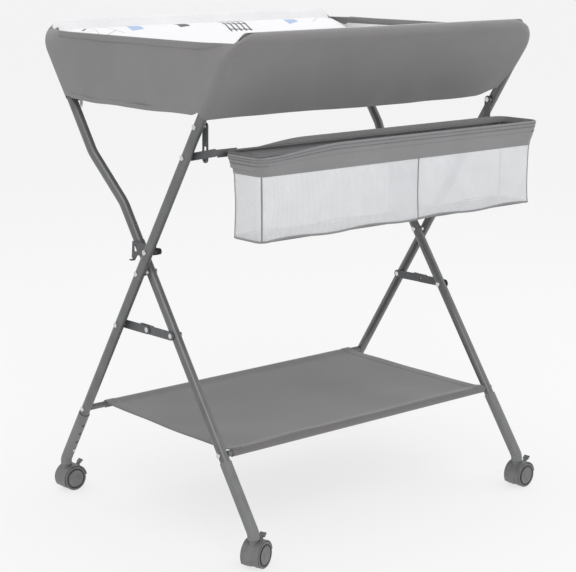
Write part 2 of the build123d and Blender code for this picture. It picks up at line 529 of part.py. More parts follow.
def basket():
    """Hanging basket: mesh body, cloth band on a wire hoop, divider, arms and struts."""
    low = (BASKET_HALF, BASKET_BACK_Y, BASKET_FRONT_Y)
    high = (BASKET_HALF + FLARE_SIDE, BASKET_BACK_Y + FLARE_BACK, BASKET_FRONT_Y - FLARE_FRONT)

    def band_at(z):
        share = (z - BAND_LOW_Z) / (BAND_TOP_Z - BAND_LOW_Z)
        return [a + (b - a) * share for a, b in zip(low, high)]

    def inset(size, by):
        return size[0] - by, size[1] - by, size[2] + by

    bottom = box((-low[0], low[0]), (low[2], low[1]), (BASKET_BOTTOM_Z, BASKET_BOTTOM_Z + MESH_THICK))
    net = sewn_walls(BASKET_BOTTOM_Z + MESH_THICK, BAND_LOW_Z, low, low, MESH_THICK)
    nodes["basket_mesh"] = Compound([bottom] + net)
    nodes["basket_band"] = Compound(sewn_walls(BAND_LOW_Z, BAND_TOP_Z, low, high, BAND_THICK))
    hoop_z = BAND_TOP_Z - 9
    hoop_half, hoop_back, hoop_front = inset(band_at(hoop_z - HOOP_R), BAND_THICK + HOOP_R + GAP)
    ring = Pos(0, (hoop_back + hoop_front) / 2, hoop_z) * RectangleRounded(2 * hoop_half, hoop_back - hoop_front, BASKET_CORNER)
    path = ring.face().outer_wire()
    nodes["basket_hoop"] = sweep(Plane(path @ 0, z_dir=path % 0) * Circle(HOOP_R), path=path)
    nodes["basket_divider"] = box((DIVIDER_X - 1, DIVIDER_X + 1),
                                  (BASKET_FRONT_Y + MESH_THICK, BASKET_BACK_Y - MESH_THICK),
                                  (BASKET_BOTTOM_Z + MESH_THICK, BAND_LOW_Z - GAP))
    root = (outer_y(ARM_ROOT_Z), ARM_ROOT_Z)
    foot_z = ARM_ROOT_Z + ARM_RISE
    back = band_at(foot_z)[1] + GAP * 2
    tilt = math.degrees(math.atan2(FLARE_BACK, BAND_TOP_Z - BAND_LOW_Z))
    top_pin = (outer_y(STRUT_TOP_Z), STRUT_TOP_Z)
    low_pin = (STRUT_PIN_Y, ARM_ROOT_Z)
    arms, struts = [], []
    for s in SIDES.values():
        x_out = OUTER_IN - 1
        x = (s * x_out, s * (x_out - ARM_THICK))
        tip = (back + ARM_THICK, foot_z)
        arm = bar(root, (tip[0] + ARM_HEIGHT / 2, tip[1]), ARM_HEIGHT, *x)
        arm = arm - cross_pin(PIN_HOLE, *x, *root)
        foot = box(sorted((s * x_out, s * (BASKET_HALF - 26))), (0, ARM_THICK), (-ARM_HEIGHT / 2, ARM_HEIGHT / 2))
        foot = Pos(0, back, foot_z) * Rot(-tilt, 0, 0) * foot
        x_in = x_out - ARM_THICK - 0.6
        pin = headed_pin(x[1], s * (x_in - ARM_THICK - FIT), *low_pin, head_at_start=0, head_at_end=THIN_HEAD)
        arms.append(arm + foot + pin)
        length = math.hypot(top_pin[0] - low_pin[0], top_pin[1] - low_pin[1])
        along_y, along_z = (top_pin[0] - low_pin[0]) / length, (top_pin[1] - low_pin[1]) / length
        xs = (s * x_in, s * (x_in - ARM_THICK))
        strut = bar(low_pin, top_pin, STRUT_WIDTH, *xs)
        slot_end = (low_pin[0] + along_y * SLOT_TRAVEL, low_pin[1] + along_z * SLOT_TRAVEL)
        strut = strut - bar(low_pin, slot_end, SLOT_WIDTH, xs[0] + s, xs[1] - s)
        struts.append(strut - cross_pin(PIN_HOLE, *xs, *top_pin))
    nodes["basket_arms"] = Compound(arms)
    nodes["basket_struts"] = Compound(struts)


outer_frame()
inner_frame()
shelf()
tray_soft()
pivots_and_rivets()
braces()
latches()
height_sleeves()
casters()
basket()

os.makedirs("parts", exist_ok=True)
for name, shape in nodes.items():
    export_step(shape, "parts/%s.step" % name)
print(len(nodes), "nodes")
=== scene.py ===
import json
import math

import bpy
from mathutils import Matrix, Vector, noise


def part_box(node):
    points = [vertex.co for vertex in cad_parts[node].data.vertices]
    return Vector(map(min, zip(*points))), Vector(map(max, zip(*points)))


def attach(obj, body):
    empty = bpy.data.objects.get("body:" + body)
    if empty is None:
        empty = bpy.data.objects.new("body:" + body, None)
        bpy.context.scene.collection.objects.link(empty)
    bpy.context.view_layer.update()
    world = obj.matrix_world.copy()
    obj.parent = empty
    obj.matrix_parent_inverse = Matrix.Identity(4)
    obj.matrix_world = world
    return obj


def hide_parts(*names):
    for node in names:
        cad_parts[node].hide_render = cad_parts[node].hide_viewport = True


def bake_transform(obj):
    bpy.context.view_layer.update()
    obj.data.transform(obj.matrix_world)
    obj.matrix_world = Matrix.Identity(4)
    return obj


bl_info = {
    "name": "Folding Changing Table",
    "version": (1, 0, 0),
    "blender": (4, 5, 0),
    "location": "View3D > Sidebar > Changing Table",
    "description": "Dresses the frame of a folding changing table with its cloth, net and small fittings",
    "category": "Add Mesh",
}

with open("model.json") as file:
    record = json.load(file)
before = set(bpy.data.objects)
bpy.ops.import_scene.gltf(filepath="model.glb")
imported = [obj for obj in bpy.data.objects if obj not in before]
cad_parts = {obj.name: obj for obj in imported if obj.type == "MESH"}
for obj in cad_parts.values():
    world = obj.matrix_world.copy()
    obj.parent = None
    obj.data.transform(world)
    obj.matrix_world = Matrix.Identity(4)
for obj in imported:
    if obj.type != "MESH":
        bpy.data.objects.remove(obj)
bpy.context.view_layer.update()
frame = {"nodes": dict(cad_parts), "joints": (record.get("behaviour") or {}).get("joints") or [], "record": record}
JOINTS = {joint["name"]: joint for joint in frame["joints"]}
SLOT_OF_NODE = {part["node"]: part["material_slot"] for part in frame["record"]["subparts"]}
CORNERS = ("front_left", "front_right", "rear_left", "rear_right")

# Tubes and rims, measured on the frame. Metres, +X along the table, +Z up.
PIVOT_Z = JOINTS["frame_fold"]["pos_m"][2]
RAIL_LOW, RAIL_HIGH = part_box("rear_shelf_rail")
FRONT_RAIL_LOW, FRONT_RAIL_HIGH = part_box("front_shelf_rail")
FRONT_LOW, FRONT_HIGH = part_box("front_rim_tube")
REAR_LOW, REAR_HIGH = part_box("rear_rim_tube")
LEG_LOW, LEG_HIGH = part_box("outer_leg_left")
TUBE_R = (LEG_HIGH.x - LEG_LOW.x) / 2
FRONT_RIM = Vector((FRONT_LOW.y + TUBE_R, FRONT_HIGH.z - TUBE_R))
REAR_RIM = Vector((REAR_HIGH.y - TUBE_R, REAR_HIGH.z - TUBE_R))
LEG_X = FRONT_HIGH.x - TUBE_R
LEAN_OUTER = math.atan2(-FRONT_RIM.x, FRONT_RIM.y - PIVOT_Z)
LEAN_INNER = math.atan2(REAR_RIM.x, REAR_RIM.y - PIVOT_Z)


class TableSizes(bpy.types.PropertyGroup):
    """Sizes of the cloth and net pieces."""
    cloth: bpy.props.FloatProperty(
        name="Cloth", description="Thickness of the tray cloth", default=0.0012, unit="LENGTH")
    wrap: bpy.props.FloatProperty(
        name="Wrap", description="From a tube to the outside of the cloth round it", default=0.0022,
        unit="LENGTH")
    skirt_z: bpy.props.FloatProperty(
        name="Skirt height", description="Lower edge of the tray's long walls", default=0.812, unit="LENGTH")
    end_skirt_z: bpy.props.FloatProperty(
        name="End skirt height", description="Lower edge of the tray's end walls", default=0.819,
        unit="LENGTH")
    end_top_z: bpy.props.FloatProperty(
        name="End height", description="Upper edge of the tray's end walls", default=0.942, unit="LENGTH")
    hem: bpy.props.FloatProperty(
        name="Hem", description="Width of the hem on the end walls", default=0.011, unit="LENGTH")
    shelf_hem: bpy.props.FloatProperty(
        name="Shelf hem", description="Width of the shelf's end hems", default=0.025, unit="LENGTH")
    stitch: bpy.props.FloatProperty(
        name="Stitch", description="Length of one stitch", default=0.0035, unit="LENGTH")
    pad_growth: bpy.props.FloatProperty(
        name="Pad growth", description="Most that the pad's stuffing may push its skin out", default=0.004,
        unit="LENGTH")
    pad_voxel: bpy.props.FloatProperty(
        name="Pad voxel", description="Mesh size of the pad before it is filled", default=0.006,
        unit="LENGTH")
    piping_r: bpy.props.FloatProperty(
        name="Piping", description="Radius of the basket's piping", default=0.0019, unit="LENGTH")


class TableColours(bpy.types.PropertyGroup):
    """Colours of the finishes."""
    tray: bpy.props.FloatVectorProperty(
        name="Tray cloth", description="Grey of the tray cloth", subtype="COLOR",
        default=(0.218, 0.212, 0.213))
    shelf: bpy.props.FloatVectorProperty(
        name="Shelf cloth", description="Grey of the shelf cloth", subtype="COLOR",
        default=(0.178, 0.172, 0.173))
    band: bpy.props.FloatVectorProperty(
        name="Band cloth", description="Grey of the basket's band", subtype="COLOR",
        default=(0.255, 0.255, 0.26))
    pad: bpy.props.FloatVectorProperty(
        name="Pad cloth", description="White of the pad", subtype="COLOR", default=(0.80, 0.80, 0.81))
    net: bpy.props.FloatVectorProperty(
        name="Net", description="Pale net of the basket", subtype="COLOR", default=(0.86, 0.87, 0.89))
    paint: bpy.props.FloatVectorProperty(
        name="Tube paint", description="Satin paint of the tubes", subtype="COLOR",
        default=(0.155, 0.157, 0.16))
    sleeve: bpy.props.FloatVectorProperty(
        name="Sleeve paint", description="Matte paint of the sleeves", subtype="COLOR",
        default=(0.18, 0.182, 0.185))
    bracket: bpy.props.FloatVectorProperty(
        name="Bracket paint", description="Dark paint of the brackets", subtype="COLOR",
        default=(0.1, 0.102, 0.106))
    plastic: bpy.props.FloatVectorProperty(
        name="Caster plastic", description="Grey of the casters", subtype="COLOR",
        default=(0.15, 0.151, 0.154))


def sizes():
    return bpy.context.scene.table_sizes


def colours():
    return bpy.context.scene.table_colours


# ---------------------------------------------------------------- finishes

class Finish:
    """A new material and the few node calls that every finish needs."""

    def __init__(self, name, roughness, metallic=0.0):
        self.material = bpy.data.materials.new(name)
        self.material.use_nodes = True
        self.nodes = self.material.node_tree.nodes
        self.links = self.material.node_tree.links
        self.shader = self.nodes["Principled BSDF"]
        self.shader.inputs["Roughness"].default_value = roughness
        self.shader.inputs["Metallic"].default_value = metallic

    def add(self, kind, **settings):
        node = self.nodes.new(kind)
        for key, value in settings.items():
            setattr(node, key, value)
        return node

    def join(self, source, target):
        self.links.new(source, target)

    def coords(self, kind="Object"):
        return self.add("ShaderNodeTexCoord").outputs[kind]

    def math(self, operation, a, b=None):
        node = self.add("ShaderNodeMath", operation=operation)
        for socket, value in zip(node.inputs, (a, b)):
            if isinstance(value, (int, float)):
                socket.default_value = value
            elif value is not None:
                self.join(value, socket)
        return node.outputs[0]

    def noise(self, scale, detail=3.0, coords=None, stretch=None):
        node = self.add("ShaderNodeTexNoise")
        node.inputs["Scale"].default_value = scale
        node.inputs["Detail"].default_value = detail
        source = coords or self.coords()
        if stretch:
            mapping = self.add("ShaderNodeMapping")
            mapping.inputs["Scale"].default_value = stretch
            self.join(source, mapping.inputs["Vector"])
            source = mapping.outputs["Vector"]
        self.join(source, node.inputs["Vector"])
        return node.outputs["Fac"]

    def ramp(self, source, *stops):
        node = self.add("ShaderNodeValToRGB")
        ramp = node.color_ramp
        while len(ramp.elements) < len(stops):
            ramp.elements.new(0.5)
        for element, (at, colour) in zip(ramp.elements, stops):
            element.position = at
            element.color = (*colour, 1.0)
        self.join(source, node.inputs["Fac"])
        return node.outputs["Color"]

    def mix(self, share, a, b):
        node = self.add("ShaderNodeMix", data_type="RGBA")
        for index, value in ((0, share), (6, a), (7, b)):
            if isinstance(value, tuple):
                node.inputs[index].default_value = (*value, 1.0)
            elif isinstance(value, (int, float)):
                node.inputs[index].default_value = value
            else:
                self.join(value, node.inputs[index])
        return node.outputs[2]

    def colour(self, source):
        self.join(source, self.shader.inputs["Base Color"])

    def bump(self, height, strength, distance):
        node = self.add("ShaderNodeBump")
        node.inputs["Strength"].default_value = strength
        node.inputs["Distance"].default_value = distance
        self.join(height, node.inputs["Height"])
        previous = self.shader.inputs["Normal"]
        if previous.is_linked:
            self.join(previous.links[0].from_socket, node.inputs["Normal"])
        self.join(node.outputs["Normal"], previous)

    def threads(self, pitch, source):
        """The crossed threads of a plain weave, one up and one down, pitch apart."""
        waves = []
        for direction in ("X", "Y"):
            wave = self.add("ShaderNodeTexWave", bands_direction=direction)
            wave.inputs["Scale"].default_value = math.pi / (10 * pitch)
            wave.inputs["Distortion"].default_value = 0.4
            self.join(source, wave.inputs["Vector"])
            waves.append(wave.outputs["Fac"])
        return self.math("MULTIPLY", *waves)


def shade(rgb, factor):
    return tuple(channel * factor for channel in rgb)


def woven(name, rgb, pitch=0.0011, sheen=0.35, uv=True):
    """Plain-weave cloth: crossed threads, slubs, and slow changes of shade."""
    finish = Finish(name, 0.86)
    finish.shader.inputs["Sheen Weight"].default_value = sheen
    finish.shader.inputs["Sheen Roughness"].default_value = 0.5
    finish.shader.inputs["Specular IOR Level"].default_value = 0.25
    source = finish.coords("UV" if uv else "Object")
    weave = finish.threads(pitch, source)
    slubs = finish.noise(260.0, 4.0)
    cloud = finish.noise(9.0, 3.0)
    base = finish.ramp(cloud, (0.25, shade(rgb, 0.91)), (0.75, shade(rgb, 1.08)))
    dark = finish.mix(0.5, base, shade(rgb, 0.62))
    threads = finish.mix(weave, dark, base)
    light = shade(rgb, 1.3)
    finish.colour(finish.mix(finish.math("MULTIPLY", slubs, 0.3), threads, light))
    finish.bump(weave, 0.4, 0.0003)
    finish.bump(slubs, 0.12, 0.0004)
    return finish.material


def painted(name, rgb, roughness, metallic, wear=0.35):
    """Powder coat: fine orange peel, faint drawn lines along the tube, and brighter worn spots."""
    finish = Finish(name, roughness, metallic)
    peel = finish.noise(1400.0, 2.0)
    drawn = finish.noise(60.0, 4.0, stretch=(1.0, 1.0, 0.08))
    worn = finish.ramp(finish.noise(38.0, 8.0), (0.66, (0.0,) * 3), (0.78, (wear,) * 3))
    base = finish.ramp(drawn, (0.3, shade(rgb, 0.9)), (0.7, shade(rgb, 1.1)))
    finish.colour(finish.mix(worn, base, shade(rgb, 1.5)))
    rough = finish.math("ADD", finish.math("MULTIPLY", drawn, 0.12), roughness - 0.06)
    finish.join(rough, finish.shader.inputs["Roughness"])
    finish.bump(peel, 0.08, 0.0004)
    return finish.material


def zinc(name):
    """Bright plated steel with a fine grain."""
    finish = Finish(name, 0.28, 1.0)
    grain = finish.noise(900.0, 3.0)
    finish.colour(finish.ramp(grain, (0.3, (0.56, 0.56, 0.55)), (0.7, (0.74, 0.74, 0.73))))
    finish.bump(grain, 0.1, 0.0003)
    return finish.material


def moulded(name, rgb, roughness=0.48):
    """Moulded plastic with a fine spark texture and scuffs."""
    finish = Finish(name, roughness)
    spark = finish.noise(1800.0, 2.0)
    scuffs = finish.noise(70.0, 6.0)
    finish.colour(finish.ramp(scuffs, (0.35, shade(rgb, 0.9)), (0.75, shade(rgb, 1.25))))
    rough = finish.math("ADD", finish.math("MULTIPLY", scuffs, 0.2), roughness - 0.1)
    finish.join(rough, finish.shader.inputs["Roughness"])
    finish.bump(spark, 0.12, 0.0003)
    return finish.material


def netting(name, rgb):
    """Fine knitted net: pale yarn round small holes, so it lets some light through."""
    finish = Finish(name, 0.7)
    finish.shader.inputs["Sheen Weight"].default_value = 0.3
    source = finish.coords("UV")
    yarn = finish.threads(0.0021, source)
    finish.colour(finish.ramp(finish.noise(30.0, 3.0), (0.3, shade(rgb, 0.93)), (0.7, rgb)))
    open_share = finish.ramp(yarn, (0.3, (0.62,) * 3), (0.55, (0.25,) * 3))
    finish.join(open_share, finish.shader.inputs["Alpha"])
    finish.bump(yarn, 0.3, 0.0004)
    return finish.material


# Inks of the pad's print, and its shapes: centre x and y, half length, half width, turn in degrees, ink.
DARK_INK, BLUE_INK, GREY_INK = (0.03, 0.032, 0.035), (0.33, 0.45, 0.66), (0.35, 0.36, 0.38)
LINE = 0.0007                   # half width of a thin printed line
SCATTERED_PRINTS = (
    (-0.205, 0.246, 0.016, 0.010, 8, BLUE_INK),
    (-0.085, 0.250, 0.014, 0.010, 8, DARK_INK),
    (-0.315, 0.262, 0.009, 0.002, 35, DARK_INK),
    (-0.285, 0.225, 0.032, LINE, 24, GREY_INK),
    (-0.262, 0.244, 0.026, LINE, -38, GREY_INK),
    (-0.300, 0.238, 0.014, LINE, 80, GREY_INK),
    (-0.130, 0.276, 0.012, LINE, 30, GREY_INK),
    (-0.116, 0.276, 0.012, LINE, -35, GREY_INK),
    (-0.245, 0.276, 0.010, 0.003, 12, DARK_INK),
    (-0.260, 0.05, 0.018, 0.012, 20, BLUE_INK),
    (-0.120, -0.04, 0.016, 0.011, -15, DARK_INK),
    (0.080, 0.07, 0.030, LINE, 50, GREY_INK),
    (0.100, 0.07, 0.030, LINE, -35, GREY_INK),
    (0.230, -0.03, 0.017, 0.012, 10, BLUE_INK),
    (0.290, 0.09, 0.014, 0.010, -8, DARK_INK),
    (0.200, 0.245, 0.016, 0.010, 14, BLUE_INK),
    (0.280, 0.250, 0.026, LINE, 30, GREY_INK),
    (-0.050, -0.235, 0.016, 0.010, 12, BLUE_INK),
    (0.150, -0.24, 0.014, 0.010, -9, DARK_INK),
    (-0.220, -0.24, 0.026, LINE, 28, GREY_INK),
)
GRILLE_X, GRILLE_Y, GRILLE_TURN = 0.045, 0.242, -4


def pad_prints():
    """The scattered shapes, and a grille of three long bars crossed by five short ones."""
    shapes = list(SCATTERED_PRINTS)
    for row in (0.020, 0.0, -0.020):
        shapes.append((GRILLE_X, GRILLE_Y + row, 0.030, 0.0016, GRILLE_TURN, DARK_INK))
    for column in range(5):
        x = GRILLE_X - 0.025 + 0.013 * column
        shapes.append((x, GRILLE_Y, 0.0022, 0.026, GRILLE_TURN, DARK_INK))
    return shapes


def printed(name, rgb):
    """Smooth white cloth with small geometric prints: blocks, thin lines and a group of bars."""
    finish = Finish(name, 0.6)
    finish.shader.inputs["Sheen Weight"].default_value = 0.15
    finish.shader.inputs["Specular IOR Level"].default_value = 0.35
    coords = finish.coords()
    weave = finish.threads(0.0008, coords)
    colour = finish.ramp(finish.noise(7.0, 3.0), (0.3, shade(rgb, 0.965)), (0.7, rgb))
    for x, y, half_length, half_width, turn, ink in pad_prints():
        mapping = finish.add("ShaderNodeMapping", vector_type="TEXTURE")
        mapping.inputs["Location"].default_value = (x, y, 0.0)
        mapping.inputs["Rotation"].default_value = (0.0, 0.0, math.radians(turn))
        finish.join(coords, mapping.inputs["Vector"])
        split = finish.add("ShaderNodeSeparateXYZ")
        finish.join(mapping.outputs["Vector"], split.inputs["Vector"])
        inside = [
            finish.math("LESS_THAN", finish.math("ABSOLUTE", split.outputs[axis]), half)
            for axis, half in ((0, half_length), (1, half_width))
        ]
        mask = finish.math("MULTIPLY", *inside)
        colour = finish.mix(finish.math("MULTIPLY", mask, 0.92), colour, ink)
    finish.colour(colour)
    finish.bump(weave, 0.15, 0.0002)
    finish.bump(finish.noise(24.0, 4.0), 0.12, 0.002)
    return finish.material


FINISHES = {}


class TABLE_OT_finishes(bpy.types.Operator):
    """Make the finishes and put them on the frame's own pieces"""
    bl_idname = "table.finishes"
    bl_label = "Finishes"

    def execute(self, context):
        rgb = colours()
        FINISHES.update({
            "frame_paint": painted("satin_grey_paint", tuple(rgb.paint), 0.36, 0.45),
            "sleeve_paint": painted("matte_grey_paint", tuple(rgb.sleeve), 0.55, 0.1),
            "bracket_paint": painted("dark_grey_paint", tuple(rgb.bracket), 0.42, 0.3),
            "zinc_steel": zinc("bright_zinc"),
            "hoop_wire": painted("wire_paint", tuple(rgb.paint), 0.4, 0.4),
            "caster_plastic": moulded("caster_plastic", tuple(rgb.plastic)),
            "wheel_plastic": moulded("wheel_plastic", shade(tuple(rgb.plastic), 0.85), 0.42),
            "black_rubber": moulded("black_rubber", (0.012, 0.012, 0.013), 0.62),
            "tray_cloth": woven("tray_weave", tuple(rgb.tray)),
            "shelf_cloth": woven("shelf_weave", tuple(rgb.shelf), pitch=0.0014),
            "band_cloth": woven("band_weave", tuple(rgb.band)),
            "pad_cloth": printed("printed_pad_cloth", tuple(rgb.pad)),
            "basket_net": netting("pale_net", tuple(rgb.net)),
            "lining": woven("white_lining", (0.82, 0.82, 0.83), pitch=0.0009, sheen=0.15),
            "zip": moulded("zip_tape", (0.16, 0.16, 0.165), 0.6),
        })
        for node, piece in frame["nodes"].items():
            piece.data.materials.clear()
            piece.data.materials.append(FINISHES[SLOT_OF_NODE[node]])
        return {"FINISHED"}


# ---------------------------------------------------------------- modelling helpers

def clear_selection():
    if bpy.context.object and bpy.context.object.mode != "OBJECT":
        bpy.ops.object.mode_set(mode="OBJECT")
    bpy.ops.object.select_all(action="DESELECT")


def choose(piece):
    clear_selection()
    piece.select_set(True)
    bpy.context.view_layer.objects.active = piece


def apply_modifier(piece, kind, **settings):
    choose(piece)
    modifier = piece.modifiers.new(kind.lower(), kind)
    for key, value in settings.items():
        setattr(modifier, key, value)
    bpy.ops.object.modifier_apply(modifier=modifier.name)


def smooth(piece, angle=40.0):
    choose(piece)
    bpy.ops.object.shade_smooth_by_angle(angle=math.radians(angle))


def edit_all(piece, operation, **settings):
    choose(piece)
    bpy.ops.object.mode_set(mode="EDIT")
    bpy.ops.mesh.select_all(action="SELECT")
    operation(**settings)
    bpy.ops.object.mode_set(mode="OBJECT")


def finish_piece(piece, name, slot, body=None, finish=None, nodes=()):
    piece.name = name
    piece.data.name = name
    piece.data.materials.clear()
    piece.data.materials.append(FINISHES[finish or slot])
    if body:
        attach(piece, body)
    if nodes:
        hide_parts(*nodes)
    return piece


def sheet(columns, rows, place, scale, wrap=False, thickness=None, offset=-1.0):
    """A grid laid over a surface: place takes shares across and up, and gives a point."""
    clear_selection()
    bpy.ops.mesh.primitive_grid_add(x_subdivisions=columns, y_subdivisions=rows, size=1.0)
    piece = bpy.context.object
    for corner in piece.data.uv_layers.active.data:
        corner.uv = (corner.uv[0] * scale[0], corner.uv[1] * scale[1])
    for vertex in piece.data.vertices:
        vertex.co = place(min(max(vertex.co.x + 0.5, 0.0), 1.0), min(max(vertex.co.y + 0.5, 0.0), 1.0))
    if wrap:
        edit_all(piece, bpy.ops.mesh.remove_doubles, threshold=0.00001)
    if thickness:
        apply_modifier(piece, "SOLIDIFY", thickness=thickness, offset=offset, use_even_offset=False)
    return piece


def tube(points, radius, closed=False, sides=8):
    """A round cord through points, as a mesh."""
    clear_selection()
    curve = bpy.data.curves.new("cord", "CURVE")
    curve.dimensions = "3D"
    curve.bevel_depth = radius
    curve.bevel_resolution = max(1, sides // 4)
    curve.use_fill_caps = True
    spline = curve.splines.new("POLY")
    spline.points.add(len(points) - 1)
    for spot, point in zip(spline.points, points):
        spot.co = (*point, 1.0)
    spline.use_cyclic_u = closed
    piece = bpy.data.objects.new("cord", curve)
    bpy.context.scene.collection.objects.link(piece)
    choose(piece)
    bpy.ops.object.convert(target="MESH")
    return bpy.context.object


def join(pieces):
    clear_selection()
    for piece in pieces:
        piece.select_set(True)
    bpy.context.view_layer.objects.active = pieces[0]
    bpy.ops.object.join()
    return bpy.context.object


def ease(share):
    share = min(max(share, 0.0), 1.0)
    return share * share * (3.0 - 2.0 * share)


def ripple(point, scale, height):
    return noise.noise(Vector(point) * scale) * height


RING_STOPS = (0.31, 0.36, 0.45, 0.50, 0.81, 0.86, 0.95, 1.0)
QUARTERS = ((1, -1), (1, 1), (-1, 1), (-1, -1))


def ring_part(share):
    """Which straight or corner of a ring a share falls in, from the front left, and how far along it."""
    start = 0.0
    for index, stop in enumerate(RING_STOPS):
        if share <= stop or index == len(RING_STOPS) - 1:
            return index, (share - start) / (stop - start)
        start = stop


def ring(share, half, front, back, corner):
    """A point on a rounded rectangle, with how far it is an end and its way out."""
    index, part = ring_part(share)
    quarter = index // 2
    angle = math.radians(-90.0 + 90.0 * quarter)
    if index % 2:
        angle += math.radians(90.0) * part
        side_x, side_y = QUARTERS[quarter]
        middle = (front if side_y < 0 else back) - side_y * corner
        x = side_x * (half - corner) + corner * math.cos(angle)
        y = middle + corner * math.sin(angle)
    else:
        ends = (((corner - half, front), (half - corner, front)),
                ((half, front + corner), (half, back - corner)),
                ((half - corner, back), (corner - half, back)),
                ((-half, back - corner), (-half, front + corner)))[quarter]
        x = ends[0][0] + (ends[1][0] - ends[0][0]) * part
        y = ends[0][1] + (ends[1][1] - ends[0][1]) * part
    return x, y, ease(abs(math.cos(angle))), (math.cos(angle), math.sin(angle))


def wall_point(away, up, front=True):
    """(y, z) beside a rim, away from its centre line and up along its leg."""
    if front:
        lean, rim, side = LEAN_OUTER, FRONT_RIM, -1.0
    else:
        lean, rim, side = LEAN_INNER, REAR_RIM, 1.0
    return (rim.x + side * (away * math.cos(lean) + up * math.sin(lean)),
            rim.y - away * math.sin(lean) + up * math.cos(lean))


RIM_BEND = 0.055                # centre-line radius of the rims' corners
WIDEN = 0.14                    # share of an end wall over which it widens from the rim's corner
LEAST_TURN = 0.0015             # least depth of a corner of the cover
LEAST_CORNER = 0.004            # least width of a corner of the cover


def root(value):
    return math.sqrt(max(value, 0.0))


def tray_ring(share, away, up, end_in, end_z):
    """A point of the tray's cover: the long walls wrap the rims' bends, the ends hang between them."""
    r = TUBE_R + sizes().wrap
    bend_x = LEG_X - RIM_BEND
    reach = RIM_BEND + r
    index, part = ring_part(share)
    full = LEG_X + r - end_in
    rims = ((FRONT_RIM, LEAN_OUTER, True), (REAR_RIM, LEAN_INNER, False))
    corners = []
    for rim, lean, front in rims:
        y, z = wall_point(away, up, front)
        fall = (end_z - rim.y) / math.cos(lean)
        turn_y = wall_point(0.0, fall, front)[0]
        half = min(bend_x + root(reach ** 2 - max(fall + RIM_BEND, 0.0) ** 2), LEG_X + r) - end_in
        start = bend_x + root(RIM_BEND ** 2 - min(max(up + RIM_BEND, 0.0), RIM_BEND) ** 2)
        start = min(start, half - LEAST_CORNER)
        depth = turn_y - y if front else y - turn_y
        corners.append((y, z, turn_y, half, start, max(depth, LEAST_TURN)))
    quarter = index // 2
    if index in (0, 4):
        y, z, _, _, start, _ = corners[0 if index == 0 else 1]
        way = 1.0 if index == 0 else -1.0
        return Vector((way * start * (2.0 * part - 1.0), y, z)), 0.0, (0.0, -way)
    if index % 2:
        side_x, side_y = QUARTERS[quarter]
        y, z, turn_y, half, start, depth = corners[0 if side_y < 0 else 1]
        away_from_long = part if side_x * side_y < 0 else 1.0 - part
        angle = math.pi / 2 * away_from_long
        x = start + (half - start) * math.sin(angle)
        lean_back = 1.0 if side_y < 0 else -1.0
        y_here = y + lean_back * depth * (1.0 - math.cos(angle))
        drop = reach - root(reach ** 2 - min(max(x - bend_x, 0.0), reach) ** 2)
        full_drop = reach - root(reach ** 2 - min(max(half - bend_x, 0.0), reach) ** 2)
        first = reach - root(reach ** 2 - min(max(start - bend_x, 0.0), reach) ** 2)
        end = (drop - first) / max(full_drop - first, 1e-6)
        out = (side_x * math.sin(angle), side_y * math.cos(angle))
        return Vector((side_x * x, y_here, z + (end_z - z) * end)), end, out
    side_x = 1.0 if index == 2 else -1.0
    toward_back = part if index == 2 else 1.0 - part
    front_corner, back_corner = corners
    y0 = front_corner[0] + front_corner[5]
    y1 = back_corner[0] - back_corner[5]
    y = y0 + (y1 - y0) * toward_back
    near = front_corner if toward_back < 0.5 else back_corner
    widened = ease(min(toward_back, 1.0 - toward_back) / WIDEN)
    x = near[3] + (full - near[3]) * widened
    return Vector((side_x * x, y, end_z)), 1.0, (side_x, 0.0)


def lining_ring(share, away, up, end_in, end_z, corner):
    """A point of the tray's lining, which stays inside the rims and the legs."""
    front_y, front_z = wall_point(away, up, True)
    back_y, back_z = wall_point(away, up, False)
    half = LEG_X + TUBE_R + sizes().wrap - end_in
    x, y, end, out = ring(share, half, front_y, back_y, corner)
    long_z = front_z if y < 0 else back_z
    return Vector((x, y, long_z + (end_z - long_z) * end)), end, out


# ---------------------------------------------------------------- tray

COVER_OUTSIDE = 0.60            # share of the cover's rows on its outside
COVER_ROLL = 0.86               # and up to the end of the roll over the rim
COVER_TUCK = 0.022              # how far the cover's inner edge goes down behind the rim
END_TUCK = 0.014                # and behind the hem of an end wall
END_ROLL_R = 0.0018             # radius of the end walls' upper edge


def cover_place(share, rise):
    s = sizes()
    r = TUBE_R + s.wrap
    drop = (FRONT_RIM.y - s.skirt_z) / math.cos(LEAN_OUTER)
    if rise < COVER_OUTSIDE:
        t = rise / COVER_OUTSIDE
        end_z = s.end_skirt_z + (s.end_top_z - s.end_skirt_z) * t
        point, end, out = tray_ring(share, r, -drop * (1.0 - t), 0.0, end_z)
        belly = math.sin(math.pi * t)
        along = point.y / 0.26 if end > 0.5 else point.x / 0.36
        middle = max(0.0, 1.0 - along ** 2)
        low = (1.0 - t) ** 3
        push = ripple((point.x, point.y, point.z), 9.0, 0.0028) * belly - 0.002 * belly
        push += low * ripple((point.x, point.y, 0.7), 13.0, 0.006)
        point += Vector((out[0], out[1], 0.0)) * push * middle
        point.z += low * ripple((point.x, point.y, 0.3), 7.0, 0.005)
        if point.y < 0:
            point.z += low * ease((point.x - (LEG_X - 0.075)) / 0.07) * 0.013
        return point
    if rise < COVER_ROLL:
        angle = math.pi * (rise - COVER_OUTSIDE) / (COVER_ROLL - COVER_OUTSIDE)
        away, up = r * math.cos(angle), r * math.sin(angle)
        end_in = END_ROLL_R * (1.0 - math.cos(angle))
        return tray_ring(share, away, up, end_in, s.end_top_z + END_ROLL_R * math.sin(angle))[0]
    t = (rise - COVER_ROLL) / (1.0 - COVER_ROLL)
    return tray_ring(share, -r, -COVER_TUCK * t, 2 * END_ROLL_R, s.end_top_z - END_TUCK * t)[0]


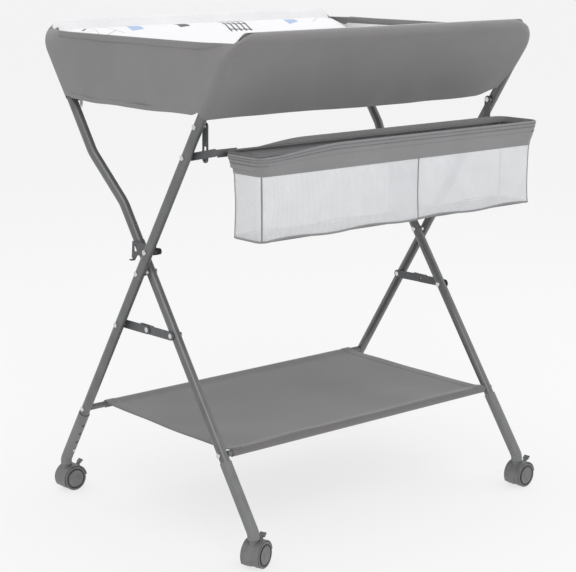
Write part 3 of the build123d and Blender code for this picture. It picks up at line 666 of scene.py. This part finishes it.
LINING_ROLL = 0.22              # share of the lining's rows on its roll over the rim
LINING_START = math.radians(138.0)
LINING_CORNER = 0.034
LINING_IN = 0.0085              # from the outside of an end wall to the lining


def lining_place(share, rise):
    s = sizes()
    r = TUBE_R + s.wrap + 0.0012
    if rise < LINING_ROLL:
        angle = LINING_START + (math.pi - LINING_START) * rise / LINING_ROLL
        away, up = r * math.cos(angle), r * math.sin(angle)
        end_z = s.end_top_z - s.hem - 0.001 * rise / LINING_ROLL
        return lining_ring(share, away, up, LINING_IN, end_z, LINING_CORNER)[0]
    t = (rise - LINING_ROLL) / (1.0 - LINING_ROLL)
    floor_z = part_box("tray_floor")[1].z + 0.0006
    drop = (FRONT_RIM.y - floor_z) / math.cos(LEAN_OUTER) - 0.007
    end_z = s.end_top_z - s.hem - 0.001 + (floor_z - s.end_top_z + s.hem) * t
    point, _, out = lining_ring(share, -r, -drop * t, LINING_IN, end_z, LINING_CORNER)
    slack = ripple((point.x, point.y, point.z), 12.0, 0.0016) * math.sin(math.pi * t)
    return point - Vector((out[0], out[1], 0.0)) * abs(slack)


def blend_frames(piece):
    """Cloth that joins the two frames is baked in place; it does not follow either frame."""
    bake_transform(piece)


class TABLE_OT_tray_cover(bpy.types.Operator):
    """Grey cloth round the tray, rolled over both rims"""
    bl_idname = "table.tray_cover"
    bl_label = "Tray cover"

    def execute(self, context):
        s = sizes()
        cover = sheet(220, 52, cover_place, (2.6, 0.24), wrap=True, thickness=s.cloth)
        smooth(cover, 60)
        finish_piece(cover, "tray_cover", "tray_cloth",
                     nodes=("tray_front_wall", "tray_rear_wall", "tray_left_wall", "tray_right_wall"))
        blend_frames(cover)
        return {"FINISHED"}


class TABLE_OT_tray_lining(bpy.types.Operator):
    """White lining inside the tray"""
    bl_idname = "table.tray_lining"
    bl_label = "Tray lining"

    def execute(self, context):
        lining = sheet(220, 26, lambda share, rise: lining_place(1.0 - share, rise), (2.5, 0.15), wrap=True,
                       thickness=0.0008, offset=1.0)
        smooth(lining, 60)
        finish_piece(lining, "tray_lining", "pad_cloth", finish="lining")
        blend_frames(lining)
        return {"FINISHED"}


def tray_end_x(y, z):
    """How far out an end wall is at a place along it."""
    s = sizes()
    share = (z - s.end_skirt_z) / (s.end_top_z - s.end_skirt_z)
    drop = (FRONT_RIM.y - s.skirt_z) / math.cos(LEAN_OUTER)
    up = -drop * (1.0 - min(max(share, 0.0), 1.0))
    end_z = min(z, s.end_top_z)
    start, stop = RING_STOPS[1:3]
    first = tray_ring(start, TUBE_R + s.wrap, up, 0.0, end_z)[0].y
    last = tray_ring(stop, TUBE_R + s.wrap, up, 0.0, end_z)[0].y
    part = min(max((y - first) / (last - first), 0.0), 1.0)
    return tray_ring(start + (stop - start) * part, TUBE_R + s.wrap, up, 0.0, end_z)[0].x


HEM_FRONT_Y, HEM_BACK_Y = -0.264, 0.270
BINDING = 0.0085                # width of the binding under an end wall
STITCH_STEP = 1.6               # from one stitch to the next, in stitches
STITCHED = 0.5                  # length of a row of stitches


def end_strip(name, side, z, height, y_front, y_back):
    """A flat folded strip of cloth along an end wall, closed at both ends."""
    def place(share, rise):
        y = y_front + (y_back - y_front) * share
        thin = ease(min(share, 1.0 - share) / 0.03)
        around = math.tau * rise
        sag = -0.003 * math.sin(math.pi * share) + ripple((y, z, side), 12.0, 0.002)
        x = tray_end_x(y, z) + 0.0016 * math.cos(around) * thin
        return Vector((side * x, y, z + sag + height / 2 * math.sin(around) * max(thin, 0.05)))

    piece = sheet(60, 14, place, (y_back - y_front, 2.2 * height), wrap=True)
    edit_all(piece, bpy.ops.mesh.normals_make_consistent, inside=False)
    smooth(piece, 70)
    finish_piece(piece, name, "tray_cloth")
    blend_frames(piece)


def end_stitching(name, side):
    """Two rows of stitches in the hem of an end wall. Every second stitch is on the inside, so not made."""
    s = sizes()
    step = s.stitch * STITCH_STEP
    stitches = []
    for row in (0.35, 0.75):
        z = s.end_top_z + 0.003 - s.hem * row
        for index in range(int(STITCHED / step)):
            y = -STITCHED / 2 + index * step
            x = side * (tray_end_x(y, z) + 0.0015)
            stitches.append((Vector((x, y, z)), Vector((x, y + s.stitch, z))))
    thread = join([tube(pair, 0.00035, sides=4) for pair in stitches[::2]])
    finish_piece(thread, name, "tray_cloth")
    blend_frames(thread)


class TABLE_OT_tray_trim(bpy.types.Operator):
    """Hems, bindings and stitching of the tray's end walls"""
    bl_idname = "table.tray_trim"
    bl_label = "Tray trim"

    def execute(self, context):
        s = sizes()
        skirt_front = wall_point(0.0, -(FRONT_RIM.y - s.skirt_z) / math.cos(LEAN_OUTER))[0]
        skirt_back = wall_point(0.0, -(REAR_RIM.y - s.skirt_z) / math.cos(LEAN_INNER), False)[0]
        for side, word in ((-1, "left"), (1, "right")):
            end_strip("tray_hem_" + word, side, s.end_top_z - s.hem / 2 + 0.003, s.hem, HEM_FRONT_Y,
                      HEM_BACK_Y)
            end_strip("tray_binding_" + word, side, s.end_skirt_z + 0.002, BINDING, skirt_front + 0.002,
                      skirt_back - 0.002)
            end_stitching("tray_stitching_" + word, side)
        return {"FINISHED"}


class TABLE_OT_zip_pull(bpy.types.Operator):
    """The metal pull that hangs at the tray's rear left corner"""
    bl_idname = "table.zip_pull"
    bl_label = "Zip pull"

    def execute(self, context):
        s = sizes()
        y, z = wall_point(-TUBE_R - 0.004, -(REAR_RIM.y - s.end_skirt_z) / math.cos(LEAN_INNER), False)
        x = -LEG_X + 0.016
        clear_selection()
        bpy.ops.mesh.primitive_torus_add(major_segments=20, minor_segments=8, major_radius=0.0034,
                                         minor_radius=0.0007, location=(x, y, z - 0.004),
                                         rotation=(math.pi / 2, 0.0, 0.0))
        loop = bpy.context.object
        bpy.ops.object.transform_apply(location=True, rotation=True, scale=True)
        clear_selection()
        bpy.ops.mesh.primitive_cylinder_add(vertices=20, radius=0.0035, depth=0.0014,
                                            location=(x, y, z - 0.019), rotation=(math.pi / 2, 0.0, 0.0))
        tab = bpy.context.object
        bpy.ops.transform.resize(value=(1.0, 1.0, 3.4))
        bpy.ops.object.transform_apply(location=True, rotation=True, scale=True)
        apply_modifier(tab, "BEVEL", width=0.0004, segments=2)
        pull = join([loop, tab])
        smooth(pull, 40)
        finish_piece(pull, "zip_pull", "zinc_steel", body="inner_frame")
        return {"FINISHED"}


class TABLE_OT_tray_floor(bpy.types.Operator):
    """Cloth floor of the tray"""
    bl_idname = "table.tray_floor"
    bl_label = "Tray floor"

    def execute(self, context):
        low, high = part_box("tray_floor")

        def place(share, rise):
            x = low.x + 0.003 + (high.x - low.x - 0.006) * share
            y = low.y + (high.y - low.y) * rise
            sag = 0.006 * math.sin(math.pi * share) * math.sin(math.pi * rise)
            return Vector((x, y, high.z - sag + ripple((x, y, 0.0), 8.0, 0.0008) - 0.0008))

        floor = sheet(60, 40, place, (high.x - low.x, high.y - low.y), thickness=0.0012)
        smooth(floor)
        finish_piece(floor, "tray_floor_cloth", "tray_cloth", nodes=("tray_floor",))
        blend_frames(floor)
        return {"FINISHED"}


def pad_height(across, low_z, seat_z, top_z):
    """Height of the pad's top for a share across it: two raised sides and a flat seat."""
    edge = min(across, 1.0 - across)
    lip, foot = 0.035, 0.29
    if edge < lip:
        return top_z - 0.006 * (1.0 - edge / lip) ** 2
    return seat_z + (top_z - seat_z) * (1.0 - ease((edge - lip) / (foot - lip)) ** 0.85)


class TABLE_OT_changing_pad(bpy.types.Operator):
    """Contoured pad, filled by a cloth simulation"""
    bl_idname = "table.changing_pad"
    bl_label = "Changing pad"

    def execute(self, context):
        s = sizes()
        low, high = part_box("changing_pad")
        seat_z = frame["record"]["mounts"][0]["pos_m"][2]
        grow = s.pad_growth
        clear_selection()
        bpy.ops.mesh.primitive_cube_add(size=2.0)
        pad = bpy.context.object
        edit_all(pad, bpy.ops.mesh.subdivide, number_cuts=44)
        inside = TUBE_R + s.wrap + 0.004 + grow
        for vertex in pad.data.vertices:
            a, b, c = vertex.co
            across = (b + 1.0) / 2
            share = (c + 1.0) / 2
            top = pad_height(across, low.z, seat_z, high.z) - grow * 0.6
            end = 1.0 - abs(a)
            top -= 0.010 * (1.0 - ease(end / 0.06)) * (top - low.z) / (high.z - low.z)
            z = low.z + grow * 0.4 + (top - low.z - grow * 0.4) * share
            front = wall_point(-inside, (z - FRONT_RIM.y) / math.cos(LEAN_OUTER))[0]
            back = wall_point(-inside, (z - REAR_RIM.y) / math.cos(LEAN_INNER), False)[0]
            half = (high.x - grow) * (1.0 - 0.008 * (1.0 - math.sin(math.pi * share)))
            vertex.co = (a * half, front + (back - front) * across, z)
        pad = filled(pad, s.pad_voxel * 1.3, grow)
        apply_modifier(pad, "SMOOTH", factor=0.5, iterations=6)
        apply_modifier(pad, "SUBSURF", levels=1, render_levels=1)
        smooth(pad, 80)
        finish_piece(pad, "changing_pad_cushion", "pad_cloth", nodes=("changing_pad",))
        blend_frames(pad)
        return {"FINISHED"}


def filled(piece, voxel, cap):
    """Remesh a form, blow it up as a cloth bag, hold back how far it grows, and keep the result."""
    apply_modifier(piece, "REMESH", mode="VOXEL", voxel_size=voxel)
    start = [vertex.co.copy() for vertex in piece.data.vertices]
    choose(piece)
    cloth = piece.modifiers.new("filling", "CLOTH")
    cloth.settings.use_pressure = True
    cloth.settings.uniform_pressure_force = 4.0
    cloth.settings.effector_weights.gravity = 0.0
    cloth.settings.tension_stiffness = 20.0
    cloth.settings.compression_stiffness = 20.0
    cloth.settings.quality = 5
    scene = bpy.context.scene
    for step in range(1, 17):
        scene.frame_set(step)
    bpy.context.view_layer.update()
    result = piece.evaluated_get(bpy.context.evaluated_depsgraph_get())
    moved = [vertex.co.copy() for vertex in result.data.vertices]
    piece.modifiers.remove(cloth)
    scene.frame_set(1)
    for vertex, before, after in zip(piece.data.vertices, start, moved):
        step = after - before
        if step.length > cap:
            step = step * (cap / step.length)
        vertex.co = before + step
    return piece


# ---------------------------------------------------------------- shelf

class TABLE_OT_shelf(bpy.types.Operator):
    """Shelf cloth, sewn round both rails, with hemmed ends"""
    bl_idname = "table.shelf"
    bl_label = "Shelf"

    def execute(self, context):
        s = sizes()
        rail_z = (RAIL_LOW.z + RAIL_HIGH.z) / 2
        rear_y = (RAIL_LOW.y + RAIL_HIGH.y) / 2
        front_y = (FRONT_RAIL_LOW.y + FRONT_RAIL_HIGH.y) / 2
        wrap = (RAIL_HIGH.z - RAIL_LOW.z) / 2 + 0.0016
        low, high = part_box("shelf_panel")
        left, right = low.x, high.x
        around = 0.12           # share of the cloth's rows round each rail
        turn = math.radians(240.0)

        def place(share, rise):
            bow = math.sin(math.pi * min(max((rise - around) / (1 - 2 * around), 0.0), 1.0))
            x0 = left + 0.003 * bow
            x1 = right + 0.007 * bow
            x = x0 + (x1 - x0) * share
            if rise < around:
                angle = math.pi / 2 + turn * (1.0 - rise / around)
                return Vector((x, front_y + wrap * math.cos(angle), rail_z + wrap * math.sin(angle)))
            if rise > 1.0 - around:
                angle = math.pi / 2 - turn * (rise - 1.0 + around) / around
                return Vector((x, rear_y + wrap * math.cos(angle), rail_z + wrap * math.sin(angle)))
            t = (rise - around) / (1.0 - 2 * around)
            y = front_y + (rear_y - front_y) * t
            sag = 0.0075 * math.sin(math.pi * t) * (0.6 + 0.4 * math.sin(math.pi * share))
            z = rail_z + wrap - (wrap - 0.001) * min(1.0, 6.0 * math.sin(math.pi * t)) * 0.55 - sag
            return Vector((x, y, z + ripple((x, y, 1.0), 9.0, 0.0015)))

        cloth = sheet(90, 74, place, (right - left, 0.52), thickness=0.0013)
        hems = []
        for start, stop in ((0.0, s.shelf_hem / (right - left)), (1.0 - s.shelf_hem / (right - left), 1.0)):
            def hem(share, rise, start=start, stop=stop):
                inner = place(start + (stop - start) * share, around * 0.8 + (1.0 - 1.6 * around) * rise)
                lift = 0.0009 * min(1.0, 12.0 * min(share, 1.0 - share))
                return inner + Vector((0.0, 0.0, lift))
            hems.append(sheet(10, 70, hem, (s.shelf_hem, 0.42), thickness=0.0008))
        smooth(cloth, 60)
        finish_piece(cloth, "shelf_cloth", "shelf_cloth",
                     nodes=("shelf_panel", "front_shelf_sleeve", "rear_shelf_sleeve"))
        hem_pair = join(hems)
        smooth(hem_pair, 60)
        finish_piece(hem_pair, "shelf_hems", "shelf_cloth")
        for piece in (cloth, hem_pair):
            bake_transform(piece)
        return {"FINISHED"}


# ---------------------------------------------------------------- basket

BASKET_LOW, BASKET_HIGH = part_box("basket_mesh")
BAND_LOW, BAND_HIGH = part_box("basket_band")
NET_CORNER = 0.016              # bend of the net's upright corners


def basket_ring(share, z, grow=0.0):
    """A point on the basket's wall at a height: straight net below, a flared band above."""
    flare = min(max((z - BAND_LOW.z) / (BAND_HIGH.z - BAND_LOW.z), 0.0), 1.0)
    half = BASKET_HIGH.x + (BAND_HIGH.x - BASKET_HIGH.x) * flare + grow
    front = BASKET_LOW.y + (BAND_LOW.y - BASKET_LOW.y) * flare - grow
    back = BASKET_HIGH.y + (BAND_HIGH.y - BASKET_HIGH.y) * flare + grow
    x, y, end, out = ring(share, half, front, back, NET_CORNER + 0.006 * flare)
    return Vector((x, y, z)), end, out


def band_dip(point):
    """How much the band's edge hangs lower near the left end."""
    return 0.014 * ease((-point.x - 0.16) / 0.19)


class TABLE_OT_basket_net(bpy.types.Operator):
    """Net body of the basket with its floor, divider and piping"""
    bl_idname = "table.basket_net"
    bl_label = "Basket net"

    def execute(self, context):
        s = sizes()
        low_z, high_z = BASKET_LOW.z, BASKET_HIGH.z + 0.004

        def place(share, rise):
            z = low_z + 0.0015 + (high_z - low_z - 0.0015) * rise
            point, _, out = basket_ring(share, z)
            belly = math.sin(math.pi * rise) ** 0.7
            inward = 0.0022 * belly + ripple((point.x, point.y, z), 16.0, 0.0018) * belly
            scallop = 0.004 * (1.0 - rise) ** 3 * math.sin(point.x * 17.0) ** 2
            return Vector((point.x - out[0] * inward, point.y - out[1] * inward, z + scallop))

        net = sheet(200, 16, place, (1.56, high_z - low_z), wrap=True, thickness=0.0006)
        smooth(net, 60)
        finish_piece(net, "basket_net_walls", "basket_net", body="basket", nodes=("basket_mesh",))

        def floor_place(share, rise):
            x = BASKET_LOW.x + 0.001 + (BASKET_HIGH.x - BASKET_LOW.x - 0.002) * share
            y = BASKET_LOW.y + 0.001 + (BASKET_HIGH.y - BASKET_LOW.y - 0.002) * rise
            edge = min(share * 12.0, (1 - share) * 12.0, rise * 3.0, (1 - rise) * 3.0, 1.0)
            corner = 0.012
            inner_x = max(abs(x) - (BASKET_HIGH.x - corner), 0.0)
            middle = (BASKET_LOW.y + BASKET_HIGH.y) / 2
            inner_y = max(abs(y - middle) - ((BASKET_HIGH.y - BASKET_LOW.y) / 2 - corner), 0.0)
            reach = math.hypot(inner_x, inner_y)
            if reach > corner:
                x -= math.copysign(inner_x * (1.0 - corner / reach), x)
                y -= math.copysign(inner_y * (1.0 - corner / reach), y - middle)
            return Vector((x, y, low_z + 0.003 + ripple((x, y, 2.0), 20.0, 0.001) * ease(edge)))

        floor = sheet(90, 16, floor_place, (0.69, 0.085), thickness=0.0012)
        smooth(floor)
        finish_piece(floor, "basket_floor_cloth", "band_cloth", body="basket")
        div_low, div_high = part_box("basket_divider")

        def divider_place(share, rise):
            y = div_low.y + 0.002 + (div_high.y - div_low.y - 0.004) * share
            z = div_low.z + (div_high.z - div_low.z) * rise
            sag = 0.010 * math.sin(math.pi * share) * rise ** 2
            x = (div_low.x + div_high.x) / 2 + 0.0018 * math.sin(math.pi * share) * math.sin(math.pi * rise)
            return Vector((x, y, z - sag))

        divider = sheet(16, 16, divider_place, (0.082, 0.117), thickness=0.0008)
        smooth(divider)
        finish_piece(divider, "basket_divider_net", "basket_net", body="basket", nodes=("basket_divider",))
        pieces = []
        bottom = [place(step / 120.0, 0.0) + Vector((0.0, 0.0, 0.0004)) for step in range(120)]
        pieces.append(tube(bottom, s.piping_r, closed=True))
        for share in (0.335, 0.475, 0.835, 0.975):
            pieces.append(tube([place(share, step / 12.0) for step in range(13)], s.piping_r * 0.75))
        straight = BASKET_HIGH.x - NET_CORNER
        seam = (div_low.x + 0.001 + straight) / (2 * straight) * RING_STOPS[0]
        pieces.append(tube([place(seam, step / 12.0) for step in range(13)], s.piping_r * 0.6))
        piping = join(pieces)
        smooth(piping, 50)
        finish_piece(piping, "basket_piping", "band_cloth", body="basket")
        return {"FINISHED"}


ZIP_TEETH = 300
ZIP_RISE = 0.425                # height of the zip's teeth, as a share of the band's rows


class TABLE_OT_basket_band(bpy.types.Operator):
    """Cloth band round the basket's mouth, with its zip"""
    bl_idname = "table.basket_band"
    bl_label = "Basket band"

    def execute(self, context):
        low_z, high_z = BAND_LOW.z, BAND_HIGH.z

        def place(share, rise):
            if rise <= 0.7:
                t = rise / 0.7
                flat = basket_ring(share, low_z + (high_z - low_z) * t)[0]
                z = low_z + (high_z - low_z - band_dip(flat)) * t - 0.002 * (1.0 - t)
                point, _, out = basket_ring(share, z)
                puff = 0.0018 * math.sin(math.pi * t)
                puff += ripple((point.x, point.y, z), 22.0, 0.0012) * math.sin(math.pi * t)
                return Vector((point.x + out[0] * puff, point.y + out[1] * puff, z))
            angle = math.pi * (rise - 0.7) / 0.3
            flat = basket_ring(share, high_z)[0]
            top = high_z - band_dip(flat)
            r = 0.0022
            point = basket_ring(share, top, grow=-r + r * math.cos(angle))[0]
            lift = r * math.sin(angle) - 0.022 * max(0.0, (rise - 0.85) / 0.15)
            return Vector((point.x, point.y, top + lift))

        band = sheet(220, 24, place, (1.6, 0.075), wrap=True, thickness=0.0012)
        smooth(band, 60)
        finish_piece(band, "basket_band_cloth", "band_cloth", body="basket", nodes=("basket_band",))
        strips = []
        for rise in (0.56, 0.66):
            line = [place(step / 220.0, rise) for step in range(220)]
            strips.append(tube(line, 0.0009, closed=True, sides=6))
        tape = join(strips)
        smooth(tape, 60)
        finish_piece(tape, "basket_zip_tape", "band_cloth", body="basket", finish="zip")
        teeth = []
        clear_selection()
        bpy.ops.mesh.primitive_cube_add(size=1.0)
        tooth = bpy.context.object
        bpy.ops.transform.resize(value=(0.0013, 0.0008, 0.0022))
        bpy.ops.object.transform_apply(location=True, rotation=True, scale=True)
        for step in range(ZIP_TEETH):
            here = place(step / ZIP_TEETH, ZIP_RISE)
            after = place(((step + 1) % ZIP_TEETH) / ZIP_TEETH, ZIP_RISE)
            copy = tooth.copy()
            copy.data = tooth.data.copy()
            bpy.context.scene.collection.objects.link(copy)
            way = (after - here).normalized()
            turn = Matrix.Rotation(math.atan2(way.y, way.x), 4, "Z")
            copy.data.transform(Matrix.Translation(here) @ turn)
            teeth.append(copy)
        bpy.data.objects.remove(tooth)
        chain = join(teeth)
        finish_piece(chain, "basket_zip_teeth", "band_cloth", body="basket", finish="zip")
        return {"FINISHED"}


# ---------------------------------------------------------------- casters

WHEEL_LOW, WHEEL_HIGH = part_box("caster_wheels_rear_left")
WHEEL_FACE = (WHEEL_HIGH.y - WHEEL_LOW.y) / 2     # from a caster's middle to a wheel's outer face


class TABLE_OT_wheel_trim(bpy.types.Operator):
    """Groove ring and hub cap on the outside of each wheel"""
    bl_idname = "table.wheel_trim"
    bl_label = "Wheel trim"

    def execute(self, context):
        for corner in CORNERS:
            joint = JOINTS["wheel_roll_" + corner]
            centre, axis = Vector(joint["pos_m"]), Vector(joint["axis"])
            rings, hubs = [], []
            turn = axis.to_track_quat("Z", "Y").to_matrix().to_4x4()
            for side in (-1, 1):
                clear_selection()
                bpy.ops.mesh.primitive_torus_add(major_segments=48, minor_segments=8, major_radius=0.0196,
                                                 minor_radius=0.0011)
                groove = bpy.context.object
                groove.data.transform(Matrix.Translation(centre + axis * side * WHEEL_FACE) @ turn)
                rings.append(groove)
                clear_selection()
                bpy.ops.mesh.primitive_cylinder_add(vertices=40, radius=0.0172, depth=0.0014)
                hub = bpy.context.object
                shape_hub(hub, side)
                hub.data.transform(Matrix.Translation(centre + axis * side * (WHEEL_FACE + 0.0004)) @ turn)
                hubs.append(hub)
            ring_pair = join(rings)
            smooth(ring_pair, 60)
            finish_piece(ring_pair, "wheel_groove_" + corner, "black_rubber", body="wheels_" + corner)
            hub_pair = join(hubs)
            smooth(hub_pair, 35)
            finish_piece(hub_pair, "wheel_hub_" + corner, "caster_plastic", body="wheels_" + corner)
        return {"FINISHED"}


def shape_hub(hub, side):
    """Inset the outer face of a disc into a shallow dish with a raised middle."""
    choose(hub)
    bpy.ops.object.mode_set(mode="EDIT")
    bpy.ops.mesh.select_mode(type="FACE")
    bpy.ops.mesh.select_all(action="DESELECT")
    bpy.ops.object.mode_set(mode="OBJECT")
    for face in hub.data.polygons:
        face.select = face.normal.z * side > 0.9
    bpy.ops.object.mode_set(mode="EDIT")
    for thickness, depth in ((0.0022, -0.0007), (0.0085, 0.0), (0.0012, 0.0008)):
        bpy.ops.mesh.inset(thickness=thickness, depth=depth)
    bpy.ops.object.mode_set(mode="OBJECT")


# ---------------------------------------------------------------- stage

CAMERA_PLACE = Vector((-2.0812, -2.4793, 1.1277))
CAMERA_AZIMUTH = math.radians(-39.84)
CAMERA_ELEVATION = math.radians(12.25)
CAMERA_ROLL = math.radians(-0.14)
CAMERA_LENS = 101.68


class TABLE_OT_stage(bpy.types.Operator):
    """Pale floor, soft studio light and the camera"""
    bl_idname = "table.stage"
    bl_label = "Stage"

    def execute(self, context):
        scene = context.scene
        clear_selection()
        bpy.ops.mesh.primitive_plane_add(size=60.0)
        floor = context.object
        floor.name = "studio_floor"
        pale = Finish("studio_floor_white", 0.9)
        pale.shader.inputs["Base Color"].default_value = (0.22, 0.22, 0.22, 1.0)
        pale.shader.inputs["Specular IOR Level"].default_value = 0.0
        pale.shader.inputs["Emission Color"].default_value = (1.0, 1.0, 1.0, 1.0)
        pale.shader.inputs["Emission Strength"].default_value = 0.72
        floor.data.materials.append(pale.material)
        world = bpy.data.worlds.new("studio")
        world.use_nodes = True
        world.node_tree.nodes["Background"].inputs["Color"].default_value = (0.8, 0.8, 0.805, 1.0)
        world.node_tree.nodes["Background"].inputs["Strength"].default_value = 1.0
        scene.world = world
        lamps = (("key", (-1.8, -2.4, 3.0), 2.2, 34.0), ("fill", (2.6, -1.6, 2.0), 2.4, 12.0),
                 ("top", (0.2, 0.6, 3.4), 2.6, 22.0))
        for name, place, size, power in lamps:
            light = bpy.data.lights.new(name, "AREA")
            light.size = size
            light.energy = power
            lamp = bpy.data.objects.new(name, light)
            scene.collection.objects.link(lamp)
            lamp.location = place
            aim = Vector((0.0, 0.0, 0.55)) - Vector(place)
            lamp.rotation_euler = aim.to_track_quat("-Z", "Y").to_euler()
        data = bpy.data.cameras.new("camera")
        data.sensor_width = 36.0
        data.sensor_fit = "HORIZONTAL"
        data.lens = CAMERA_LENS
        data.clip_end = 200.0
        camera = bpy.data.objects.new("camera", data)
        scene.collection.objects.link(camera)
        sin_a, cos_a = math.sin(CAMERA_AZIMUTH), math.cos(CAMERA_AZIMUTH)
        sin_e, cos_e = math.sin(CAMERA_ELEVATION), math.cos(CAMERA_ELEVATION)
        back = Vector((sin_a * cos_e, -cos_a * cos_e, sin_e))
        right = Vector((cos_a, sin_a, 0.0))
        up = back.cross(right)
        sin_r, cos_r = math.sin(CAMERA_ROLL), math.cos(CAMERA_ROLL)
        right, up = right * cos_r + up * sin_r, up * cos_r - right * sin_r
        turn = Matrix((right, up, back)).transposed()
        camera.matrix_world = Matrix.Translation(CAMERA_PLACE) @ turn.to_4x4()
        scene.camera = camera
        scene.view_settings.view_transform = "Standard"
        return {"FINISHED"}


OPERATORS = (
    TABLE_OT_finishes, TABLE_OT_stage, TABLE_OT_tray_cover, TABLE_OT_tray_lining, TABLE_OT_tray_trim,
    TABLE_OT_zip_pull, TABLE_OT_tray_floor, TABLE_OT_changing_pad, TABLE_OT_shelf, TABLE_OT_basket_net,
    TABLE_OT_basket_band, TABLE_OT_wheel_trim,
)


class TABLE_PT_panel(bpy.types.Panel):
    """Buttons that make each group of pieces"""
    bl_label = "Changing Table"
    bl_idname = "TABLE_PT_panel"
    bl_space_type = "VIEW_3D"
    bl_region_type = "UI"
    bl_category = "Changing Table"

    def draw(self, context):
        for operator in OPERATORS:
            self.layout.operator(operator.bl_idname)
        for group in (context.scene.table_sizes, context.scene.table_colours):
            box = self.layout.box()
            for name in group.__annotations__:
                box.prop(group, name)


CLASSES = (TableSizes, TableColours, *OPERATORS, TABLE_PT_panel)


def register():
    for item in CLASSES:
        bpy.utils.register_class(item)
    bpy.types.Scene.table_sizes = bpy.props.PointerProperty(type=TableSizes)
    bpy.types.Scene.table_colours = bpy.props.PointerProperty(type=TableColours)


def unregister():
    del bpy.types.Scene.table_colours
    del bpy.types.Scene.table_sizes
    for item in reversed(CLASSES):
        bpy.utils.unregister_class(item)


def main():
    register()
    for operator in OPERATORS:
        group, name = operator.bl_idname.split(".")
        getattr(getattr(bpy.ops, group), name)()
    clear_selection()
    bpy.context.view_layer.update()


if __name__ == "__main__":
    main()
